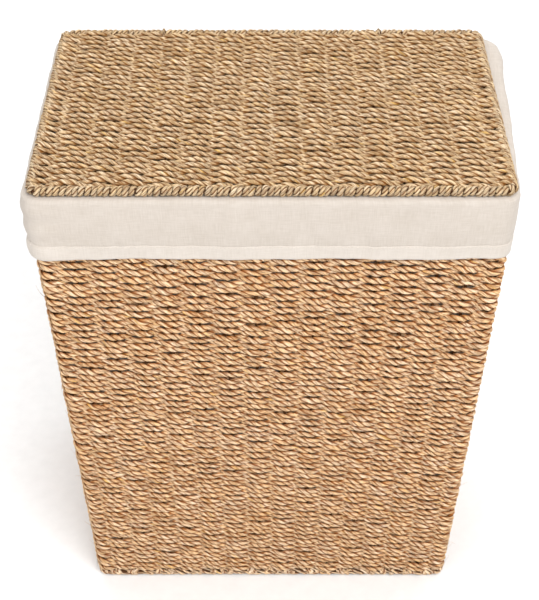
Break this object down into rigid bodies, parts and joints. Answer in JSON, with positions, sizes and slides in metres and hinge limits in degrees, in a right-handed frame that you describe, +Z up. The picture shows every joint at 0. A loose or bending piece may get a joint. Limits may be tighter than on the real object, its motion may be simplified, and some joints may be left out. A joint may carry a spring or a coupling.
{
  "type": "woven laundry basket",
  "caption": "Tapered rectangular laundry hamper of woven seagrass twine over a wire frame, with a cloth liner folded over the rim and a hinged woven lid.",
  "frame": {"origin": "on the floor, under the middle of the basket", "axes": "+Z up, -Y towards the front of the basket, +X to the right as seen from the front; the lid's hinge is along X at the back (+Y)"},
  "size_m": [0.4316, 0.2913, 0.5256],
  "materials": {
    "frame_wire": "satin",
    "wall_twine": "rough",
    "lid_twine": "rough",
    "liner_cloth": "matte"
  },
  "bodies": {
    "basket": {"base_ring_wire": "frame_wire", "rim_ring_wire": "frame_wire", "corner_post_front_left": "frame_wire", "corner_post_front_right": "frame_wire", "corner_post_back_left": "frame_wire", "corner_post_back_right": "frame_wire", "front_stakes": "frame_wire", "back_stakes": "frame_wire", "left_stakes": "frame_wire", "right_stakes": "frame_wire", "base_stakes": "frame_wire", "wall_weave": "wall_twine", "base_weave": "wall_twine", "base_edge_rope": "wall_twine", "rim_wrap": "wall_twine", "liner_walls": "liner_cloth", "liner_base": "liner_cloth", "liner_cuff": "liner_cloth", "hinge_loop_left": "lid_twine", "hinge_loop_right": "lid_twine"},
    "lid": {"lid_ring_wire": "frame_wire", "lid_stakes": "frame_wire", "lid_weave": "lid_twine", "lid_edge_wrap": "lid_twine"}
  },
  "joints": [
    {"name": "lid_hinge", "type": "hinge", "parent": "basket", "child": "lid", "pos_m": [0, 0.1382, 0.5172], "axis": [-1, 0, 0], "range_deg": [0, 110]}
  ]
}
